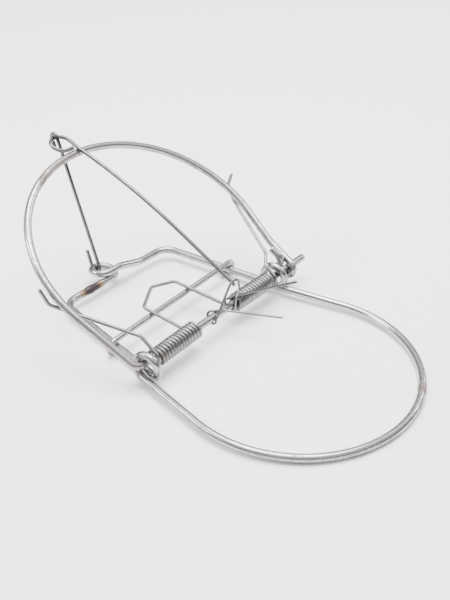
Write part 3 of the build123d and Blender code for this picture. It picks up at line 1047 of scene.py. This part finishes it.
@dataclass
class TorsionSpring:
    """The double spring: two coils on the axle, a bail on the cross bar and two arms."""

    layout: Layout
    turns: int = 13
    droop: float = 0.45
    arm_drop: float = 0.45
    bail_left: Pair = (-15.6, 26.2)
    bail_tip: Pair = (-3.6, 33.4)
    bail_right: Pair = (6.2, 29.4)
    bail_bend: float = 2.2
    arms: dict[Side, ArmShape] = field(
        default_factory=lambda: {
            Side.LEFT: ArmShape(((0.45, 8.4, 3.6),), 35.2, ((3.2, 3.6, -2.2), (4.5, 9.4, 1.6))),
            Side.RIGHT: ArmShape(
                ((0.25, 5.0, 3.2), (5.45, 9.6, 3.1)), 39.5, ((3.1, 7.4, -1.9), (7.1, 10.3, 0.55))
            ),
        }
    )

    def _inner(self, side: Side) -> float:
        """X of a coil's inner end.

        Args:
            side: Which side of the trap.
        """
        gauge = self.layout.gauge
        pitch = gauge.spring + gauge.side
        return self.layout.coil_x(side) - side.value * pitch * (self.turns + 0.5)

    def _bail(self) -> np.ndarray:
        """The bail's centre line, from the left coil to the right one.

        Returns:
            Points along the centre line.
        """
        lay, gauge = self.layout, self.layout.gauge
        left, right = self._inner(Side.LEFT), self._inner(Side.RIGHT)
        bottom = lay.axle_z - lay.coil_radius
        over_bar = lay.bar_z + (gauge.bar + gauge.spring) / 2 + gauge.touch
        slope = (over_bar - bottom) / (lay.bar_y - lay.bar_skew)
        middle = [
            (x, y, bottom + slope * y) for x, y in (self.bail_left, self.bail_tip, self.bail_right)
        ]
        points = [(left, gauge.side, bottom), (left, 2.5, bottom), *middle]
        points += [(right, 2.5, bottom), (right, gauge.side, bottom)]
        bend = self.bail_bend
        return bent(points, [6.0, bend, bend, bend, 6.0])

    def _coil(self, side: Side) -> np.ndarray:
        """A coil's centre line, from its inner end, at the bottom, to its outer end, on top.

        Args:
            side: Which side of the trap.

        Returns:
            Points along the centre line.
        """
        lay, r = self.layout, self.layout.coil_radius
        outer, inner = lay.coil_x(side), self._inner(side)
        corners = square_turns(steps(outer, inner, 4 * self.turns + 2), r, 2, 1)
        line = bent([(outer, 0.0, r), *corners, (inner, 0.0, -r)], r * RING_BEND)
        fall = self._fall(side) * (line[:, 0] - inner) / (outer - inner)
        line -= np.stack([np.zeros_like(fall), fall, fall], axis=1)
        return (line + np.array([0.0, 0.0, lay.axle_z]))[::-1]

    def _fall(self, side: Side) -> float:
        """How far a coil's outer end hangs off the axle."""
        return self.droop if side is Side.LEFT else 0.0

    def _last_turn(self, side: Side) -> np.ndarray:
        """From a coil's outer end, over the back, to its arm.

        The points are (x, r cos a, r sin a) with a from a right angle to the arm's start, while x
        goes smoothly from the coil to the arm and the hang of the coil fades out.
        """
        lay, r = self.layout, self.layout.coil_radius
        t = np.linspace(0.0, 1.0, 26)
        a = np.radians(90.0 + t * (lay.jaw_set_angle - 180.0))
        ease = t * t * (3 - 2 * t)
        x = lay.coil_x(side) + (lay.arm_x(side) - lay.coil_x(side)) * ease
        fall = self._fall(side) * (1 - ease)
        return np.stack([x, r * np.cos(a) - fall, r * np.sin(a) + lay.axle_z - fall], axis=1)

    def _arm(self, side: Side) -> np.ndarray:
        """An arm's centre line, from under the axle to the end of its hook.

        Args:
            side: Which side of the trap.

        Returns:
            Points along the centre line.
        """
        lay, r, arm = self.layout, self.layout.coil_radius, self.arms[side]
        x = lay.arm_x(side)
        across = math.sqrt(lay.jaw_radius**2 - (arm.reach - lay.jaw_centre[1]) ** 2)
        depth = (lay.gauge.frame + lay.gauge.spring) / 2 + self.arm_drop
        beside = lay.jaw_centre[0] + side.value * across
        points = [(x, 0.0, -r), (x, -r, -r), (x, -r, r)]
        points += [(x + side.value * out, along, off) for out, along, off in arm.rise]
        points.append((beside, arm.reach, -depth))
        points += [
            (beside + side.value * out, arm.reach + along, off) for out, along, off in arm.hook
        ]
        bends = [r * EYE_BEND] * 2 + [3.0] * len(arm.rise) + [6.0, 2.5]
        return lay.set_jaw(bent(points, bends))

    def line(self, side: Side) -> np.ndarray:
        """Half of the spring, from the bail's tip out to the end of the arm.

        Args:
            side: Which side of the trap.

        Returns:
            Points along the centre line.
        """
        bail = self._bail()
        tip = int(np.argmax(bail[:, 1]))
        half = bail[tip::-1] if side is Side.LEFT else bail[tip:]
        return joined(half, self._coil(side), self._last_turn(side), self._arm(side))

    def build(self, stance: Stance) -> list[bpy.types.Object]:
        """Makes both halves, each coiled on the axle between the base and the jaw.

        Args:
            stance: Where the trap stands.

        Returns:
            The objects.
        """
        made = []
        for side in Side:
            label = side.name.lower()
            line = self.line(side)
            marks = Marks(soil=[(30.0, 10.0, 0.35), (300.0, 15.0, 0.4)])
            wire = Wire(
                f"spring_{label}", line, self.layout.gauge.spring, (End.JOINED, End.SHEARED), 20,
                marks=marks,
            )
            obj = wire.make(stance, SPRING_STEEL)
            still = stance.place(np.array([[self._inner(side), 0.0, self.layout.axle_z]]))[0]
            moving = stance.place(
                np.array([[self.layout.coil_x(side), 0.0, self.layout.axle_z]])
            )[0]
            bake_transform(obj)
            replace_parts(obj, f"spring_coil_{label}", f"spring_arm_{label}", "spring_bail")
            made.append(obj)
        return made


@dataclass
class TriggerWire:
    """The thin wire a mouse treads on: two prongs, two small coils and the catch loop."""

    layout: Layout
    coils_x: Pair = (-3.6, 7.5)
    left_tip: Triple = (14.3, -21.7, 0.4)
    right_tip: Triple = (37.4, -11.0, 1.2)

    def line(self) -> np.ndarray:
        """The centre line, from the first prong's tip over the catch loop to the other's.

        Returns:
            Points along the centre line.
        """
        lay, gauge = self.layout, self.layout.gauge
        r = (gauge.frame + gauge.trigger) / 2 + gauge.running
        wide = r * 1.04
        left, right = self.coils_x
        tip, top = lay.lever_tip_x, lay.catch_top
        over = lay.coil_radius + (gauge.spring + gauge.trigger) / 2 + gauge.swing
        points = [
            self.left_tip,
            (left + 4.2, -1.6, r + 0.15),
            (left, wide, r),
            (left - 0.3, wide, -r),
            (left - 0.6, -wide, -r),
            (left + 0.4, -wide, 1.2),
            (tip - 3.4, -0.1, top - 1.8),
            (tip - 2.0, 0.0, top),
            (tip + 2.7, 0.0, top),
            (tip + 2.8, -0.6, over + 1.4),
            (right + 0.9, -wide, over * 0.9),
            (right + 0.6, -wide, 1.0),
            (right + 0.5, -wide, -r),
            (right, wide, -r),
            (right - 0.9, wide, r + 0.2),
            (right + 0.6, -0.9, over + 0.1),
            self.right_tip,
        ]
        bends = [6.0, 1.6, 1.6, 1.6, 1.2, 2.0, 1.1, 1.6, 1.5, 1.0, 1.0, 1.6, 1.6, 1.2, 1.0]
        return bent(points, bends) + np.array([0.0, 0.0, lay.axle_z])

    def build(self, stance: Stance) -> bpy.types.Object:
        """Makes the trigger.

        Args:
            stance: Where the trap stands.

        Returns:
            The object.
        """
        wire = Wire("trigger_wire", self.line(), self.layout.gauge.trigger, around=18)
        obj = wire.make(stance, TRIGGER_STEEL)
        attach(obj, Body.TRIGGER.value)
        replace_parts(obj, "trigger")
        return obj


@dataclass
class CatchLever:
    """The bowed rod that holds the jaw down, and the link that ties it to the tail eye."""

    layout: Layout
    tip_over: float = 1.5
    cross_x: float = 0.9
    nose_slope: float = 19.0
    bow_run: float = 30.0
    eye_radius: float = 4.4
    eye_back: float = 5.6
    link_gap: float = 0.14
    link_top_end: float = 4.0
    link_foot_end: float = 8.0

    def _over_jaw(self) -> tuple[Pair, Pair]:
        """Where the lever lies over the jaw's nose, as (y, z), and its direction there."""
        lay, gauge = self.layout, self.layout.gauge
        nose = lay.set_jaw(np.array([[0.0, lay.jaw_centre[1] + lay.jaw_radius, 0.0]]))[0]
        slope = math.radians(self.nose_slope)
        along = (math.cos(slope), math.sin(slope))
        apart = (gauge.frame + gauge.rod) / 2 + gauge.touch
        return (nose[1] - along[1] * apart, nose[2] + along[0] * apart), along

    def lever_line(self) -> np.ndarray:
        """The lever's centre line, from its tip in the catch loop to the end of its flat eye.

        Returns:
            Points along the centre line.
        """
        lay, gauge = self.layout, self.layout.gauge
        (y, z), along = self._over_jaw()
        bow = (y - along[0] * self.bow_run, z - along[1] * self.bow_run)
        loop_z = lay.axle_z + lay.catch_top
        apart = (gauge.trigger + gauge.rod) / 2 + gauge.touch
        distance = math.hypot(bow[0], bow[1] - loop_z)
        slope = math.atan2(bow[1] - loop_z, bow[0]) + math.asin(apart / distance)
        reach = math.sqrt(distance**2 - apart**2) + self.tip_over
        tip = (bow[0] - reach * math.cos(slope), bow[1] - reach * math.sin(slope))
        lean = (lay.lever_tip_x - self.cross_x) / y
        r, x = self.eye_radius, self.cross_x
        near, far = self.eye_back - r, self.eye_back + r

        def flat(across: float, back: float) -> Triple:
            """A point of the plane that the eye lies in."""
            return (across, y + along[0] * back, z + along[1] * back)

        points = [
            (lay.lever_tip_x - lean * tip[0], *tip),
            (lay.lever_tip_x - lean * bow[0], *bow),
            flat(x, 0.0),
            flat(x, far),
            flat(x - 2 * r, far),
            flat(x - 2 * r, near),
            flat(x - gauge.rod - gauge.side, near),
        ]
        turn = math.radians(self.nose_slope) - slope
        sweep = 0.93 * self.bow_run / math.tan(abs(turn) / 2)
        return bent(points, [sweep, 8.0, r * RING_BEND, r * RING_BEND, r * RING_BEND])

    def link_line(self) -> np.ndarray:
        """The link's centre line, from its end at the tail eye to its end at the lever.

        Returns:
            Points along the centre line.
        """
        lay, gauge = self.layout, self.layout.gauge
        (y, z), along = self._over_jaw()
        back = self.eye_back + self.eye_radius
        top = (self.cross_x - self.eye_radius, y + along[0] * back, z + along[1] * back)
        rise = lay.turn * (0.25 + 0.7) / 2
        foot = (lay.tail_eye_x, lay.frame_depth + 2 * lay.tail_eye_radius, rise)
        heading = math.atan2(top[2] - foot[2], top[1] - foot[1])
        way = (math.cos(heading), math.sin(heading))

        def at(hinge: Triple, forward: float, behind: float) -> Triple:
            """A point beside a hinge, measured along the link and behind it."""
            across = hinge[1] + way[0] * forward + way[1] * behind
            return (hinge[0], across, hinge[2] + way[1] * forward - way[0] * behind)

        low = (gauge.frame + gauge.link) / 2 + self.link_gap
        high = (gauge.rod + gauge.link) / 2 + self.link_gap
        points = [
            at(foot, self.link_foot_end, low),
            at(foot, -low, low),
            at(foot, -low, -low),
            at(top, high, -high),
            at(top, high, high),
            at(top, -self.link_top_end, high),
        ]
        return bent(points, [low * EYE_BEND, low * EYE_BEND, high * EYE_BEND, high * EYE_BEND])

    def build(self, stance: Stance) -> list[bpy.types.Object]:
        """Makes the lever and the link.

        Args:
            stance: Where the trap stands.

        Returns:
            The objects.
        """
        gauge = self.layout.gauge
        lever = Wire(
            "lever_wire", self.lever_line(), gauge.rod, around=20,
            marks=Marks(soil=[(95.0, 5.0, 0.5), (60.0, 12.0, 0.3)], bright=[(2.0, 4.0, 0.8)]),
        ).make(stance, ROD_STEEL)
        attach(lever, Body.LEVER.value)
        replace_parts(lever, "lever_rod")
        link = Wire(
            "link_wire", self.link_line(), gauge.link, around=20,
            marks=Marks(soil=[(12.0, 5.0, 0.5), (40.0, 12.0, 0.25)]),
        ).make(stance, ROD_STEEL)
        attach(link, Body.LINK.value)
        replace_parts(link, "link_rod")
        return [lever, link]


# ---- studio -----------------------------------------------------------------------
@dataclass
class Studio:
    """The floor, the soft lights, the surroundings and the camera."""

    stance: Stance
    floor_half: float = 3.0
    azimuth: float = -49.42
    elevation: float = 34.61
    distance: float = 365.4
    target: Triple = (15.67, 9.74, 0.0)
    lens: float = 52.40
    sensor: float = 36.0

    def floor(self) -> bpy.types.Object:
        """A wide, flat, pale floor.

        Returns:
            The object.
        """
        h = self.floor_half
        mesh = bpy.data.meshes.new("floor")
        mesh.from_pydata([(-h, -h, 0), (h, -h, 0), (h, h, 0), (-h, h, 0)], [], [(0, 1, 2, 3)])
        obj = bpy.data.objects.new("floor", mesh)
        bpy.context.scene.collection.objects.link(obj)
        made = bpy.data.materials.new("floor_paint")
        made.use_nodes = True
        shader = made.node_tree.nodes["Principled BSDF"]
        shader.inputs["Base Color"].default_value = (0.93, 0.93, 0.93, 1.0)
        shader.inputs["Roughness"].default_value = 0.85
        shader.inputs["Specular IOR Level"].default_value = 0.15
        mesh.materials.append(made)
        return obj

    def lights(self) -> None:
        """Three soft boxes: over the trap, behind it to the left, and low at the right."""
        boxes = (
            ("top_light", (0.10, 0.10, 0.95), 0.70, 28.0),
            ("back_light", (-0.75, 0.80, 0.75), 0.40, 12.0),
            ("side_light", (0.95, -0.25, 0.55), 0.30, 6.0),
        )
        for name, place, size, power in boxes:
            data = bpy.data.lights.new(name, "AREA")
            data.shape, data.size, data.energy = "SQUARE", size, power
            obj = bpy.data.objects.new(name, data)
            obj.location = place
            obj.rotation_mode = "QUATERNION"
            obj.rotation_quaternion = (-Vector(place)).to_track_quat("-Z", "Y")
            bpy.context.scene.collection.objects.link(obj)

    def surroundings(self) -> None:
        """A room that is bright overhead and dark near the horizon, to shade the round wires."""
        world = bpy.data.worlds.new("room")
        bpy.context.scene.world = world
        world.use_nodes = True
        tree = world.node_tree
        back = tree.nodes["Background"]
        start = Field(tree, back.outputs[0])
        way = start.node("ShaderNodeTexCoord", {}, output="Generated")
        height = way.node("ShaderNodeSeparateXYZ", {0: way}, output="Z")
        shade = height.between(0.15, 0.80).mix((0.035, 0.037, 0.04, 1.0), (1.0, 1.0, 1.0, 1.0))
        tree.links.new(shade.socket, back.inputs["Color"])
        back.inputs["Strength"].default_value = 1.5

    def camera(self) -> bpy.types.Object:
        """A camera turned and tipped with the trap, looking at the target.

        Returns:
            The object.
        """
        a, e = math.radians(self.azimuth), math.radians(self.elevation)
        back = Vector((math.sin(a) * math.cos(e), -math.cos(a) * math.cos(e), math.sin(e)))
        place = Vector(self.target) + back * self.distance
        right = Vector((0.0, 0.0, 1.0)).cross(back).normalized()
        axes = [self.stance.turn(v) for v in (right, back.cross(right), back)]
        data = bpy.data.cameras.new("camera")
        data.sensor_width, data.lens = self.sensor, self.lens
        data.clip_start, data.clip_end = 0.01, 20.0
        obj = bpy.data.objects.new("camera", data)
        turn = Matrix(axes).transposed().to_4x4()
        turn.translation = Vector(self.stance.place(np.array([list(place)]))[0])
        obj.matrix_world = turn
        bpy.context.scene.collection.objects.link(obj)
        bpy.context.scene.camera = obj
        return obj

    def build(self) -> None:
        """Makes everything round the trap."""
        self.floor()
        self.lights()
        self.surroundings()
        self.camera()


def report(obj: bpy.types.Object) -> None:
    """Logs a piece's size, and how far its box is from that of the nodes it stands for.

    Args:
        obj: The piece.
    """
    points = np.array([v.co for v in obj.data.vertices])
    nodes = [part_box(n) for n in obj["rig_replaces"] if n != "spring_bail"]
    low = np.min([list(b[0]) for b in nodes], axis=0) - points.min(axis=0)
    high = np.max([list(b[1]) for b in nodes], axis=0) - points.max(axis=0)
    off = np.abs([low, high]).max() / MM
    LOG.info("%s: %d faces, box within %.3f mm", obj.name, len(obj.data.polygons), off)


def main() -> None:
    """Builds the trap and the studio."""
    logging.basicConfig(level=logging.INFO, format="%(name)s %(message)s")
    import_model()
    layout = Layout()
    stance = Stance(layout)
    pieces = [BaseWire(layout).build(stance), CrossBar(layout).build(stance)]
    pieces += [JawWire(layout).build(stance), *TorsionSpring(layout).build(stance)]
    pieces += [TriggerWire(layout).build(stance), *CatchLever(layout).build(stance)]
    for piece in pieces:
        report(piece)
    Studio(stance).build()


if __name__ == "__main__":
    main()
